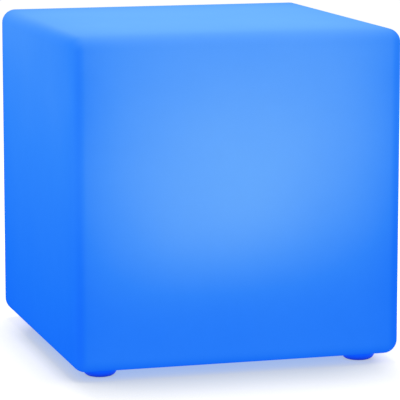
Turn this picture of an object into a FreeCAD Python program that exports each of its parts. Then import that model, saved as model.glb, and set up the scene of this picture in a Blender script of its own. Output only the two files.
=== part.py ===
"""LED cube light: a hollow glowing cube on four bumper feet.

A round light module closes a service well in the underside of the cube. It carries the battery,
the control board, the LED board under its dome, the power button and the charging socket.

Lengths are in millimetres. The origin is the centre of the base on the floor, +Z is up and the
front of the cube faces -Y.
"""
import FreeCAD, Part
import math
import os
import re

import Sketcher
from FreeCAD import Vector

# Driving sizes. Each one can be changed by itself.
SIZES = {
    # Shell
    "cube_side": 400,
    "body_height": 390,
    "edge_radius": 17,
    "shell_wall": 3.5,
    # Service well and the ledge that the light module is screwed to
    "well_clearance": 4,
    "well_depth": 20,
    "well_lip_radius": 2.5,
    "ledge_thickness": 6,
    "opening_clearance": 3.5,
    # Brass inserts and the bosses around them
    "insert_radius": 3.5,
    "insert_length": 10,
    "boss_wall": 3,
    "boss_cover": 2,
    # Feet
    "foot_radius": 20,
    "foot_height": 10,
    "foot_inset": 40,
    "foot_lip": 1.6,
    "foot_seat_height": 4.8,
    "washer_thickness": 0.8,
    "washer_radius": 4.8,
    "washer_clearance": 0.7,
    "foot_screw_gap": 4,
    # Screws: large ones hold the feet and the module, small ones hold what is inside
    "large_shank_radius": 2,
    "large_head_radius": 3.8,
    "large_head_height": 2.6,
    "large_socket_radius": 2.1,
    "large_socket_depth": 1.4,
    "small_shank_radius": 1.5,
    "small_head_radius": 2.7,
    "small_head_height": 2,
    "small_socket_radius": 1.5,
    "small_socket_depth": 1.1,
    "screw_clearance": 0.25,
    "thread_clearance": 0.05,
    # Base tray
    "flange_thickness": 3,
    "flange_screw_margin": 9,
    "flange_screw_edge": 8,
    "flange_screw_count": 6,
    "flange_screw_gap": 1,
    "gasket_thickness": 2,
    "gasket_margin": 1,
    "cup_bore_radius": 63.5,
    "cup_wall": 4,
    "rim_margin": 4.4,
    # Dome
    "dome_screw_count": 6,
    "dome_boss_radius": 4.5,
    "dome_boss_overlap": 1,
    "dome_boss_drop": 12,
    "dome_gasket_height": 1.5,
    "dome_gasket_lap": 0.3,
    "dome_gasket_inset": 1.3,
    "dome_flange_thickness": 3,
    "dome_flange_margin": 1.5,
    "dome_inset": 3.5,
    "dome_rise": 33,
    "dome_wall": 2,
    "dome_screw_length": 12,
    # LED board
    "led_board_clearance": 1,
    "led_board_drop": 2.9,
    "board_thickness": 1.6,
    "post_count": 4,
    "post_inset": 4.5,
    "post_radius": 5,
    "led_screw_length": 8,
    "led_side": 5,
    "led_height": 1.6,
    "inner_ring_radius": 20,
    "inner_ring_count": 6,
    "outer_ring_radius": 40,
    "outer_ring_count": 12,
    # Battery: two cells side by side, lying along X
    "battery_across": 25.5,
    "cell_radius": 9.2,
    "cell_length": 65,
    "cell_gap": 0.2,
    "sleeve_wall": 0.4,
    "sleeve_overhang": 1,
    "pad_thickness": 2,
    "pad_margin": 2,
    "protection_height": 13,
    "bracket_along": -12,
    "bracket_width": 10,
    "bracket_thickness": 1.5,
    "bracket_clearance": 0.2,
    "bracket_foot": 8,
    "bracket_boss_height": 4,
    "bracket_boss_radius": 3.5,
    "bracket_screw_length": 6,
    # Control board on its standoffs
    "control_across": -26,
    "control_length": 64,
    "control_depth": 36,
    "control_hole_inset": 4,
    "standoff_radius": 3,
    "control_screw_length": 6,
    "chip_side": 10,
    "chip_height": 1.6,
    "transistor_side": 6.2,
    "transistor_height": 2.3,
    "transistor_pitch": 9,
    "inductor_side": 7.3,
    "inductor_height": 4,
    "capacitor_radius": 3.1,
    "capacitor_height": 7.7,
    "capacitor_pitch": 7.4,
    # Plugs, headers and wires
    "header_length": 6,
    "header_width": 10,
    "header_height": 6,
    "plug_length": 5,
    "plug_width": 9,
    "plug_height": 5,
    "wire_radius": 0.6,
    "wire_pitch": 1.9,
    "wire_count": 4,
    "lead_radius": 0.8,
    "lead_pitch": 2.4,
    "lead_reach": 7,
    "led_socket_height": 4,
    # Power button and its switch
    "button_along": -18,
    "controls_across": -27,
    "button_radius": 6.5,
    "button_clearance": 0.3,
    "button_proud": 0.5,
    "button_dish_radius": 10,
    "button_dish_depth": 1,
    "button_collar": 1.5,
    "button_collar_thickness": 1.2,
    "button_stem_radius": 2,
    "button_stem_length": 1.2,
    "button_edge_radius": 0.8,
    "button_travel": 1.5,
    "seal_thickness": 0.8,
    "seal_margin": 0.6,
    "switch_side": 8,
    "switch_height": 7,
    "plunger_radius": 1.7,
    "plunger_clearance": 0.3,
    "plunger_length": 4,
    # Charging socket behind its flap
    "port_gap": 0.7,
    "port_radius": 10,
    "port_depth": 3.5,
    "port_floor": 3,
    "turret_wall": 1.6,
    "jack_flange_radius": 5.5,
    "jack_flange_thickness": 2,
    "jack_barrel_radius": 4,
    "jack_bore_radius": 2.75,
    "jack_back_wall": 2.5,
    "jack_pin_radius": 1,
    "jack_pin_recess": 1.6,
    "jack_tail_radius": 0.6,
    "jack_washer_thickness": 0.5,
    "jack_washer_radius": 6.2,
    "jack_nut_thickness": 2.5,
    "jack_nut_radius": 6,
    "terminal_width": 2.2,
    "terminal_thickness": 0.5,
    "terminal_length": 1.5,
    "terminal_place": 2.6,
    # Flap over the charging socket
    "flap_clearance": 0.4,
    "flap_thickness": 1.3,
    "flap_plug_radius": 2.35,
    "flap_plug_height": 1.5,
    "hinge_margin": 1,
    "hinge_rise": 1.6,
    "knuckle_radius": 1.5,
    "knuckle_length": 7,
    "hinge_gap": 0.5,
    "hinge_pin_radius": 0.8,
    "hinge_pin_length": 12,
    "hinge_pin_clearance": 0.1,
    "hinge_recess": 2.4,
    "scoop_radius": 4,
    "scoop_depth": 1.2,
    # Indicator
    "pipe_radius": 1.5,
    "pipe_collar": 0.8,
    "pipe_collar_thickness": 1,
    "indicator_length": 3,
    "indicator_width": 1.6,
    "indicator_height": 1.6,
    "indicator_gap": 0.3,
}

# Levels, places and derived sizes that several pieces share.
PLACES = {
    "cavity_floor": "foot_height + shell_wall",
    "boss_radius": "insert_radius + boss_wall",
    "foot_place": "cube_side / 2 - foot_inset",
    "foot_rounding": "foot_height - foot_lip",
    "foot_recess_radius": "washer_radius + washer_clearance",
    "foot_screw_seat": "foot_seat_height - washer_thickness",
    "foot_screw_length": "foot_height - foot_screw_seat + insert_length - foot_screw_gap",
    # Radii of the light module, from its cup outwards
    "cup_radius": "cup_bore_radius + cup_wall",
    "dome_pitch_radius": "cup_radius + dome_boss_radius - dome_boss_overlap",
    "opening_radius": "dome_pitch_radius + dome_boss_radius + opening_clearance",
    "flange_pitch_radius": "opening_radius + flange_screw_margin",
    "flange_radius": "flange_pitch_radius + flange_screw_edge",
    "well_radius": "flange_radius + well_clearance",
    "led_board_radius": "cup_bore_radius - led_board_clearance",
    "post_pitch_radius": "cup_bore_radius - post_inset",
    # Levels of the light module, from its underside up
    "ledge_under": "foot_height + well_depth",
    "ledge_top": "ledge_under + ledge_thickness",
    "tray_under": "ledge_under - gasket_thickness - flange_thickness",
    "floor_top": "tray_under + flange_thickness",
    "flange_screw_length": "flange_thickness + gasket_thickness + insert_length - flange_screw_gap",
    "cell_offset": "cell_radius + cell_gap / 2",
    "sleeve_radius": "cell_offset + sleeve_wall",
    "sleeve_half": "cell_length / 2 + sleeve_overhang",
    "battery_centre": "floor_top + pad_thickness + sleeve_radius",
    "battery_half_width": "cell_offset + sleeve_radius",
    "bracket_half": "battery_half_width + bracket_clearance + bracket_thickness",
    "bracket_seat": "floor_top + bracket_boss_height",
    "bracket_top": "battery_centre + sleeve_radius + bracket_clearance + bracket_thickness",
    "bracket_screw_place": "bracket_half + bracket_foot / 2",
    "led_board_under": "bracket_top + led_board_drop",
    "led_board_top": "led_board_under + board_thickness",
    "cup_rim": "led_board_top + rim_margin",
    "dome_seat": "cup_rim + dome_gasket_height",
    "dome_flange_top": "dome_seat + dome_flange_thickness",
    "dome_radius": "cup_radius - dome_inset",
    "dome_sphere_radius": "(dome_radius^2 + dome_rise^2) / (2 * dome_rise)",
    "dome_centre": "dome_seat + dome_rise - dome_sphere_radius",
    "dome_inner_radius": "dome_sphere_radius - dome_wall",
    # Power button, switch and the control board that the switch hangs from
    "button_hole_radius": "button_radius + button_clearance",
    "button_collar_under": "floor_top + seal_thickness",
    "button_collar_top": "button_collar_under + button_collar_thickness",
    "plunger_under": "button_collar_top + button_stem_length",
    "switch_under": "plunger_under + button_travel + button_clearance",
    "control_under": "switch_under + switch_height",
    "control_top": "control_under + board_thickness",
    "control_hole_along": "control_length / 2 - control_hole_inset",
    "control_hole_across": "control_depth / 2 - control_hole_inset",
    "plug_level": "control_top + header_height / 2",
    "wire_turn_along": "control_length / 2 + plug_length + lead_reach",
    "lead_end_across": "battery_across - cell_offset / 2",
    # Charging socket, flap and indicator
    "hinge_reach": "port_radius + hinge_margin",
    "turret_radius": "hinge_reach + hinge_recess + turret_wall",
    "jack_along": "turret_radius + pipe_radius + pipe_collar + port_gap",
    "port_roof": "tray_under + port_depth",
    "turret_top": "port_roof + port_floor",
    "jack_face": "port_roof - jack_flange_thickness",
    "jack_back": "control_under - terminal_length",
    "jack_bore_end": "jack_back - jack_back_wall",
    "jack_nut_under": "turret_top + jack_washer_thickness",
    "flap_radius": "port_radius - flap_clearance",
    "flap_top": "tray_under + flap_thickness",
    "hinge_level": "tray_under + hinge_rise",
    "indicator_under": "control_under - indicator_height",
    "pipe_top": "indicator_under - indicator_gap",
}

CORNER_COUNT = "4"
# How much of its shorter run each bend of a wire takes up
BEND_SHARE = 0.45

document = FreeCAD.newDocument("led_cube_light")
parts = []


def make_sheet():
    """Write the driving sizes into the spreadsheet, one named cell each."""
    sheet = document.addObject("Spreadsheet::Sheet", "size")
    for row, (name, number_of_mm) in enumerate(SIZES.items(), start=1):
        sheet.set(f"A{row}", name)
        sheet.set(f"B{row}", str(number_of_mm))
        sheet.setAlias(f"B{row}", name)
    document.recompute()


def bound(formula):
    """Give each plain name in a formula the object that holds it."""
    def owned(match):
        name = match.group()
        if name in SIZES:
            return "size." + name
        return "place." + name if name in PLACES else name
    return re.sub(r"[a-z_]+", owned, formula)


def make_places():
    """Bind the shared levels and places to the driving sizes."""
    shared = document.addObject("App::VarSet", "place")
    for name, formula in PLACES.items():
        shared.addProperty("App::PropertyFloat", name)
        shared.setExpression(name, bound(formula))
    document.recompute()


def make_reckoner():
    """Add an object that nothing depends on, for working out formulas."""
    lone = document.addObject("App::VarSet", "reckoner")
    lone.addProperty("App::PropertyFloat", "result")
    return lone


make_sheet()
make_places()
reckoner = make_reckoner()


def number(formula):
    """Work out a formula as a plain number of millimetres."""
    reckoner.setExpression("result", bound(formula))
    reckoner.recompute()
    return reckoner.result


# Helpers for bodies, sketches and features


def new_body(label, along="0", across="0"):
    """Start a sub-part whose own axis stands at the given place on the floor."""
    body = document.addObject("PartDesign::Body", label)
    body.setExpression("Placement.Base.x", bound(along))
    body.setExpression("Placement.Base.y", bound(across))
    parts.append(body)
    return body


def origin_feature(body, role):
    return next(item for item in body.Origin.OriginFeatures if item.Role == role)


def new_sketch(body, name, level="0", plane="XY_Plane"):
    """Attach a sketch to one of the body's own planes, moved along its normal."""
    sketch = body.newObject("Sketcher::SketchObject", f"{body.Label}_{name}_sketch")
    sketch.AttachmentSupport = [(origin_feature(body, plane), "")]
    sketch.MapMode = "FlatFace"
    sketch.setExpression("AttachmentOffset.Base.z", bound(level))
    return sketch


def dimension(sketch, kind, geometry, point, formula):
    """Tie a point's distance from the sketch's origin to a formula."""
    constraint = Sketcher.Constraint(kind, -1, 1, geometry, point, number(formula))
    index = sketch.addConstraint(constraint)
    sketch.setExpression(f"Constraints[{index}]", bound(formula))


def join(sketch, first, first_end, second, second_end):
    sketch.addConstraint(Sketcher.Constraint("Coincident", first, first_end, second, second_end))


def set_radius(sketch, geometry, formula):
    index = sketch.addConstraint(Sketcher.Constraint("Radius", geometry, number(formula)))
    sketch.setExpression(f"Constraints[{index}]", bound(formula))


def circle(sketch, radius, along="0", across="0"):
    centre = Vector(number(along), number(across), 0)
    index = sketch.addGeometry(Part.Circle(centre, Vector(0, 0, 1), number(radius)), False)
    dimension(sketch, "DistanceX", index, 3, along)
    dimension(sketch, "DistanceY", index, 3, across)
    set_radius(sketch, index, radius)


def outline(sketch, corners):
    """Draw a closed outline of straight lines through pairs of formulas."""
    spots = [Vector(number(along), number(across), 0) for along, across in corners]
    count = len(spots)
    first = sketch.GeometryCount
    for index, spot in enumerate(spots):
        sketch.addGeometry(Part.LineSegment(spot, spots[(index + 1) % count]), False)
    for index, (along, across) in enumerate(corners):
        join(sketch, first + index, 2, first + (index + 1) % count, 1)
        dimension(sketch, "DistanceX", first + index, 1, along)
        dimension(sketch, "DistanceY", first + index, 1, across)


def rectangle(sketch, length, width, along="0", across="0"):
    """Draw a rectangle centred on a point."""
    left, right = f"({along}) - ({length}) / 2", f"({along}) + ({length}) / 2"
    near, far = f"({across}) - ({width}) / 2", f"({across}) + ({width}) / 2"
    outline(sketch, [(left, near), (right, near), (right, far), (left, far)])


def hexagon(sketch, radius, along="0", across="0"):
    """Draw a regular hexagon about a point."""
    corners = [(f"{along} + {radius} * cos({turn})", f"{across} + {radius} * sin({turn})")
               for turn in range(0, 360, 60)]
    outline(sketch, corners)


def pad(body, sketch, height):
    """Raise a sketch along its plane's normal."""
    feature = body.newObject("PartDesign::Pad", sketch.Name.replace("sketch", "pad"))
    feature.Profile = sketch
    feature.setExpression("Length", bound(height))
    body.Tip = feature
    document.recompute()
    return feature


def pocket(body, sketch, depth, midplane=False):
    """Cut a sketch along its plane's normal, and make sure that it removes something."""
    before = body.Shape.Volume
    feature = body.newObject("PartDesign::Pocket", sketch.Name.replace("sketch", "pocket"))
    feature.Profile = sketch
    feature.setExpression("Length", bound(depth))
    if midplane:
        feature.Midplane = True
    else:
        feature.Reversed = True
    body.Tip = feature
    document.recompute()
    if not feature.Shape.Volume < before:
        raise RuntimeError(f"{feature.Name} cuts nothing")
    return feature


def revolve(body, sketch):
    """Turn a sketch on the XZ plane about the body's own axis."""
    feature = body.newObject("PartDesign::Revolution", sketch.Name.replace("sketch", "turned"))
    feature.Profile = sketch
    feature.ReferenceAxis = (sketch, ["V_Axis"])
    feature.Angle = 360
    body.Tip = feature
    document.recompute()
    return feature


def repeat_round(body, originals, count):
    """Repeat features about the body's own axis."""
    feature = body.newObject("PartDesign::PolarPattern", originals[-1].Name + "_round")
    feature.Originals = originals
    feature.Axis = (origin_feature(body, "Z_Axis"), [""])
    feature.Angle = 360
    feature.setExpression("Occurrences", bound(count))
    body.Tip = feature
    document.recompute()
    return feature


def repeat_whole(body, count):
    """Repeat the whole body about the vertical axis that it is built around."""
    feature = body.newObject("PartDesign::PolarPattern", body.Label + "_round")
    feature.TransformMode = "Whole shape"
    feature.Axis = (origin_feature(body, "Z_Axis"), [""])
    feature.Angle = 360
    feature.setExpression("Occurrences", bound(count))
    body.Tip = feature


def mirror_whole(body, plane):
    """Mirror the whole body in one of its own planes."""
    feature = body.newObject("PartDesign::Mirrored", f"{body.Label}_{plane[:2].lower()}_mirror")
    feature.TransformMode = "Whole shape"
    feature.MirrorPlane = (origin_feature(body, plane), [""])
    body.Tip = feature
    document.recompute()


def round_edges(body, base, radius, chosen, name="rounding"):
    """Round the edges of a feature that the given test picks out."""
    picked = [f"Edge{index}" for index, edge in enumerate(base.Shape.Edges, start=1)
              if not edge.Degenerated and chosen(edge)]
    feature = body.newObject("PartDesign::Fillet", f"{body.Label}_{name}")
    feature.Base = (base, picked)
    feature.setExpression("Radius", bound(radius))
    body.Tip = feature
    document.recompute()
    return feature


def circle_at(radius, level):
    """Make a test for the circular edge of one radius that lies at one level."""
    wanted_radius, wanted_level = number(radius), number(level)

    def chosen(edge):
        if not isinstance(edge.Curve, Part.Circle):
            return False
        same_radius = abs(edge.Curve.Radius - wanted_radius) < 1e-4
        return same_radius and abs(edge.Curve.Center.z - wanted_level) < 1e-4
    return chosen


def turned(label, corners, along="0", across="0"):
    """Make a body of revolution from pairs of radius and level."""
    body = new_body(label, along, across)
    sketch = new_sketch(body, "profile", plane="XZ_Plane")
    outline(sketch, corners)
    revolve(body, sketch)
    return body


def ring(label, inner_radius, outer_radius, bottom, thickness, along="0", across="0"):
    """Make a flat ring."""
    body = new_body(label, along, across)
    sketch = new_sketch(body, "ring", bottom)
    circle(sketch, outer_radius)
    circle(sketch, inner_radius)
    pad(body, sketch, thickness)
    return body


def block(label, length, width, bottom, height, along="0", across="0"):
    """Make a plain rectangular block, centred over a place."""
    body = new_body(label, along, across)
    sketch = new_sketch(body, "base", bottom)
    rectangle(sketch, length, width)
    pad(body, sketch, height)
    return body


def screw(label, kind, length, seat, along, across, points_up, origin=("0", "0")):
    """Make one screw, standing at a place within its body, with a hexagonal socket in its head."""
    sign = "-" if points_up else "+"
    back = "+" if points_up else "-"
    head_top = f"{seat} {sign} {kind}_head_height"
    tip = f"{seat} {back} {length}"
    body = new_body(label, *origin)
    shank = new_sketch(body, "shank", seat if points_up else tip)
    circle(shank, f"{kind}_shank_radius", along, across)
    pad(body, shank, length)
    head = new_sketch(body, "head", head_top if points_up else seat)
    circle(head, f"{kind}_head_radius", along, across)
    pad(body, head, f"{kind}_head_height")
    depth = f"{kind}_socket_depth"
    socket = new_sketch(body, "socket", head_top if points_up else f"{head_top} - {depth}")
    hexagon(socket, f"{kind}_socket_radius", along, across)
    pocket(body, socket, depth)
    return body


# Shell and what is moulded into it


def rounded_block(body, side, bottom, height, radius):
    """Make a square block with every edge rounded."""
    square = new_sketch(body, "block", bottom)
    rectangle(square, side, side)
    block_pad = pad(body, square, height)
    round_edges(body, block_pad, radius, lambda edge: True)


def make_shell():
    """The hollow cube, with its service well, ledge and insert bosses."""
    body = new_body("shell")
    rounded_block(body, "cube_side", "foot_height", "body_height", "edge_radius")
    room = document.addObject("PartDesign::Body", "shell_room")
    rounded_block(room, "cube_side - 2 * shell_wall", "cavity_floor", "body_height - 2 * shell_wall",
                  "edge_radius - shell_wall")
    hollow = body.newObject("PartDesign::Boolean", "shell_hollow")
    hollow.Type = "Cut"
    hollow.setObjects([room])
    body.Tip = hollow
    document.recompute()

    wall = new_sketch(body, "well_wall", "foot_height + shell_wall / 2")
    circle(wall, "well_radius + shell_wall")
    pad(body, wall, "ledge_top - foot_height - shell_wall / 2")
    ledge_boss = new_sketch(body, "ledge_boss", "ledge_under + ledge_thickness / 2")
    circle(ledge_boss, "boss_radius", "flange_pitch_radius")
    boss_pad = pad(body, ledge_boss, "insert_length + boss_cover - ledge_thickness / 2")
    repeat_round(body, [boss_pad], "flange_screw_count")
    foot_boss = new_sketch(body, "foot_boss", "foot_height + shell_wall / 2")
    circle(foot_boss, "boss_radius", "foot_place", "foot_place")
    foot_pad = pad(body, foot_boss, "insert_length + boss_cover - shell_wall / 2")
    repeat_round(body, [foot_pad], CORNER_COUNT)

    well = new_sketch(body, "well", "foot_height")
    circle(well, "well_radius")
    well_pocket = pocket(body, well, "well_depth")
    round_edges(body, well_pocket, "well_lip_radius", circle_at("well_radius", "foot_height"), "well_lip")
    opening = new_sketch(body, "opening", "ledge_under")
    circle(opening, "opening_radius")
    pocket(body, opening, "ledge_thickness")
    ledge_hole = new_sketch(body, "ledge_hole", "ledge_under")
    circle(ledge_hole, "insert_radius", "flange_pitch_radius")
    hole = pocket(body, ledge_hole, "insert_length")
    repeat_round(body, [hole], "flange_screw_count")
    foot_hole = new_sketch(body, "foot_hole", "foot_height")
    circle(foot_hole, "insert_radius", "foot_place", "foot_place")
    hole = pocket(body, foot_hole, "insert_length")
    repeat_round(body, [hole], CORNER_COUNT)


def make_inserts(label, bottom, along, across, count):
    """Threaded brass inserts, moulded into their bosses."""
    body = new_body(label)
    sketch = new_sketch(body, "ring", bottom)
    circle(sketch, "insert_radius", along, across)
    circle(sketch, "large_shank_radius + thread_clearance", along, across)
    pad(body, sketch, "insert_length")
    repeat_whole(body, count)


# Feet


def make_foot(label, along, across):
    """A translucent bumper foot with a recess for its washer and screw."""
    hole = "large_shank_radius + screw_clearance"
    corners = [("foot_recess_radius", "0"), ("foot_radius", "0"), ("foot_radius", "foot_height"),
               (hole, "foot_height"), (hole, "foot_seat_height"),
               ("foot_recess_radius", "foot_seat_height")]
    body = turned(label, corners, along, across)
    round_edges(body, body.Tip, "foot_rounding", circle_at("foot_radius", "0"))


def make_feet():
    for side, along in (("left", "-foot_place"), ("right", "foot_place")):
        for end, across in (("front", "-foot_place"), ("back", "foot_place")):
            make_foot(f"foot_{end}_{side}", along, across)

    washers = new_body("foot_washers")
    sketch = new_sketch(washers, "ring", "foot_screw_seat")
    circle(sketch, "washer_radius", "foot_place", "foot_place")
    circle(sketch, "large_shank_radius + screw_clearance", "foot_place", "foot_place")
    pad(washers, sketch, "washer_thickness")
    repeat_whole(washers, CORNER_COUNT)

    screws = screw("foot_screws", "large", "foot_screw_length", "foot_screw_seat",
                   "foot_place", "foot_place", points_up=True)
    repeat_whole(screws, CORNER_COUNT)


# Base tray


def make_tray_cup(body):
    """The flange, the floor and the round wall of the tray."""
    sketch = new_sketch(body, "profile", plane="XZ_Plane")
    outline(sketch, [
        ("0", "tray_under"), ("flange_radius", "tray_under"), ("flange_radius", "floor_top"),
        ("cup_radius", "floor_top"), ("cup_radius", "cup_rim"), ("cup_bore_radius", "cup_rim"),
        ("cup_bore_radius", "floor_top"), ("0", "floor_top")])
    revolve(body, sketch)


def make_tray_bosses(body):
    """Bosses for the dome screws, posts for the LED board and seats for the battery bracket."""
    sketch = new_sketch(body, "dome_boss", "floor_top - flange_thickness / 2")
    circle(sketch, "dome_boss_radius", "dome_pitch_radius")
    dome_boss = pad(body, sketch, "dome_seat - floor_top + flange_thickness / 2")
    repeat_round(body, [dome_boss], "dome_screw_count")
    sketch = new_sketch(body, "dome_hole", "dome_seat - dome_boss_drop")
    circle(sketch, "small_shank_radius + thread_clearance", "dome_pitch_radius")
    hole = pocket(body, sketch, "dome_boss_drop")
    repeat_round(body, [hole], "dome_screw_count")

    sketch = new_sketch(body, "led_post", "floor_top - flange_thickness / 2")
    circle(sketch, "post_radius", "post_pitch_radius")
    post = pad(body, sketch, "led_board_under - floor_top + flange_thickness / 2")
    repeat_round(body, [post], "post_count")
    sketch = new_sketch(body, "led_hole", "led_board_under - led_screw_length")
    circle(sketch, "small_shank_radius + thread_clearance", "post_pitch_radius")
    hole = pocket(body, sketch, "led_screw_length")
    repeat_round(body, [hole], "post_count")

    bracket_ends = ("battery_across - bracket_screw_place", "battery_across + bracket_screw_place")
    sketch = new_sketch(body, "bracket_seat", "floor_top - flange_thickness / 2")
    for across in bracket_ends:
        circle(sketch, "bracket_boss_radius", "bracket_along", across)
    pad(body, sketch, "bracket_boss_height + flange_thickness / 2")
    sketch = new_sketch(body, "bracket_hole", "bracket_seat - bracket_screw_length + bracket_thickness")
    for across in bracket_ends:
        circle(sketch, "small_shank_radius + thread_clearance", "bracket_along", across)
    pocket(body, sketch, "bracket_screw_length - bracket_thickness")


def control_corners():
    """The four corners where the control board is screwed down."""
    return [(f"{side}control_hole_along", f"control_across {end} control_hole_across")
            for side in ("", "-") for end in "+-"]


def make_tray_standoffs(body):
    """Standoffs under the control board."""
    sketch = new_sketch(body, "standoff", "floor_top - flange_thickness / 2")
    for along, across in control_corners():
        circle(sketch, "standoff_radius", along, across)
    pad(body, sketch, "control_under - floor_top + flange_thickness / 2")
    depth = "control_screw_length - board_thickness + screw_clearance"
    sketch = new_sketch(body, "standoff_hole", f"control_under - ({depth})")
    for along, across in control_corners():
        circle(sketch, "small_shank_radius + thread_clearance", along, across)
    pocket(body, sketch, depth)


def make_tray_port(body):
    """The raised seat of the charging socket, with the flap's pocket, hinge and finger scoop."""
    sketch = new_sketch(body, "turret", "tray_under + flange_thickness / 2")
    circle(sketch, "turret_radius", "jack_along", "controls_across")
    pad(body, sketch, "turret_top - tray_under - flange_thickness / 2")
    sketch = new_sketch(body, "port", "tray_under")
    circle(sketch, "port_radius", "jack_along", "controls_across")
    pocket(body, sketch, "port_depth")
    sketch = new_sketch(body, "jack_hole", "port_roof")
    circle(sketch, "jack_barrel_radius + thread_clearance", "jack_along", "controls_across")
    pocket(body, sketch, "port_floor")
    sketch = new_sketch(body, "hinge_recess", "tray_under")
    near = "jack_along + port_radius / 2"
    far = "jack_along + hinge_reach + hinge_recess"
    low = "controls_across - knuckle_length / 2 - hinge_gap"
    high = "controls_across + knuckle_length / 2 + hinge_gap"
    outline(sketch, [(near, low), (far, low), (far, high), (near, high)])
    pocket(body, sketch, "port_depth")
    sketch = new_sketch(body, "hinge_hole", "-controls_across", plane="XZ_Plane")
    circle(sketch, "hinge_pin_radius", "jack_along + hinge_reach", "hinge_level")
    pocket(body, sketch, "hinge_pin_length", midplane=True)
    sketch = new_sketch(body, "scoop", "tray_under")
    circle(sketch, "scoop_radius", "jack_along - port_radius", "controls_across")
    pocket(body, sketch, "scoop_depth")


def make_tray_controls(body):
    """Holes for the power button, the indicator and the flange screws."""
    sketch = new_sketch(body, "dish", "tray_under")
    circle(sketch, "button_dish_radius", "button_along", "controls_across")
    pocket(body, sketch, "button_dish_depth")
    sketch = new_sketch(body, "button_hole", "tray_under + button_dish_depth")
    circle(sketch, "button_hole_radius", "button_along", "controls_across")
    pocket(body, sketch, "flange_thickness - button_dish_depth")
    sketch = new_sketch(body, "pipe_hole", "tray_under")
    circle(sketch, "pipe_radius", "0", "controls_across")
    pocket(body, sketch, "flange_thickness")
    sketch = new_sketch(body, "flange_hole", "tray_under")
    circle(sketch, "large_shank_radius + screw_clearance", "flange_pitch_radius")
    hole = pocket(body, sketch, "flange_thickness")
    repeat_round(body, [hole], "flange_screw_count")


def make_base_tray():
    body = new_body("base_tray")
    make_tray_cup(body)
    make_tray_bosses(body)
    make_tray_standoffs(body)
    make_tray_port(body)
    make_tray_controls(body)


def make_flange_seal():
    """The gasket between tray and ledge, and the screws that press it."""
    gasket = new_body("flange_gasket")
    sketch = new_sketch(gasket, "ring", "floor_top")
    circle(sketch, "flange_radius - gasket_margin")
    circle(sketch, "opening_radius + gasket_margin")
    pad(gasket, sketch, "gasket_thickness")
    sketch = new_sketch(gasket, "hole", "floor_top")
    circle(sketch, "large_shank_radius + screw_clearance", "flange_pitch_radius")
    hole = pocket(gasket, sketch, "gasket_thickness")
    repeat_round(gasket, [hole], "flange_screw_count")

    screws = screw("flange_screws", "large", "flange_screw_length", "tray_under",
                   "flange_pitch_radius", "0", points_up=True)
    repeat_whole(screws, "flange_screw_count")


# Dome


def make_dome_profile(sketch):
    """Draw the section of the dome: two arcs about one centre on the axis."""
    centre = Vector(0, number("dome_centre"), 0)
    seat = number("dome_seat")
    ends = []
    for radius in ("dome_sphere_radius", "dome_inner_radius"):
        reach = number(radius)
        start = math.asin((seat - centre.y) / reach)
        round_line = Part.Circle(centre, Vector(0, 0, 1), reach)
        arc = sketch.addGeometry(Part.ArcOfCircle(round_line, start, math.pi / 2), False)
        dimension(sketch, "DistanceX", arc, 3, "0")
        dimension(sketch, "DistanceY", arc, 3, "dome_centre")
        set_radius(sketch, arc, radius)
        dimension(sketch, "DistanceY", arc, 1, "dome_seat")
        dimension(sketch, "DistanceX", arc, 2, "0")
        ends.append((Vector(reach * math.cos(start), seat, 0), Vector(0, centre.y + reach, 0)))
    (outer_foot, outer_top), (inner_foot, inner_top) = ends
    axis = sketch.addGeometry(Part.LineSegment(outer_top, inner_top), False)
    foot = sketch.addGeometry(Part.LineSegment(inner_foot, outer_foot), False)
    join(sketch, 0, 2, axis, 1)
    join(sketch, axis, 2, 1, 2)
    join(sketch, 1, 1, foot, 1)
    join(sketch, foot, 2, 0, 1)


def make_dome():
    """The frosted dome over the LED board, its gasket and its screws."""
    body = new_body("diffuser_dome")
    profile = new_sketch(body, "profile", plane="XZ_Plane")
    make_dome_profile(profile)
    revolve(body, profile)
    flange = new_sketch(body, "flange", "dome_seat")
    circle(flange, "cup_radius + dome_flange_margin")
    circle(flange, "dome_radius - dome_wall")
    pad(body, flange, "dome_flange_thickness")
    ear = new_sketch(body, "ear", "dome_seat")
    circle(ear, "dome_boss_radius", "dome_pitch_radius")
    ear_pad = pad(body, ear, "dome_flange_thickness")
    repeat_round(body, [ear_pad], "dome_screw_count")
    hole = new_sketch(body, "hole", "dome_seat")
    circle(hole, "small_shank_radius + screw_clearance", "dome_pitch_radius")
    hole_pocket = pocket(body, hole, "dome_flange_thickness")
    repeat_round(body, [hole_pocket], "dome_screw_count")

    ring("dome_gasket", "cup_bore_radius + dome_gasket_lap", "cup_radius - dome_gasket_inset",
         "cup_rim", "dome_gasket_height")
    screws = screw("dome_screws", "small", "dome_screw_length", "dome_flange_top",
                   "dome_pitch_radius", "0", points_up=False)
    repeat_whole(screws, "dome_screw_count")


# LED board


def make_led_board():
    """The aluminium board with two rings of LED packages."""
    body = new_body("led_board")
    disc = new_sketch(body, "disc", "led_board_under")
    circle(disc, "led_board_radius")
    pad(body, disc, "board_thickness")
    hole = new_sketch(body, "hole", "led_board_under")
    circle(hole, "small_shank_radius + screw_clearance", "post_pitch_radius")
    hole_pocket = pocket(body, hole, "board_thickness")
    repeat_round(body, [hole_pocket], "post_count")

    packages = new_body("led_packages")
    for name, radius, count in (("inner", "inner_ring_radius", "inner_ring_count"),
                                ("outer", "outer_ring_radius", "outer_ring_count")):
        package = new_sketch(packages, name, "led_board_top")
        rectangle(package, "led_side", "led_side", radius)
        package_pad = pad(packages, package, "led_height")
        repeat_round(packages, [package_pad], count)

    screws = screw("led_board_screws", "small", "led_screw_length", "led_board_top",
                   "post_pitch_radius", "0", points_up=False)
    repeat_whole(screws, "post_count")
    block("led_socket", "header_length", "header_width", "led_board_under - led_socket_height",
          "led_socket_height", "-wire_turn_along", "control_across")


# Battery


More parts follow.
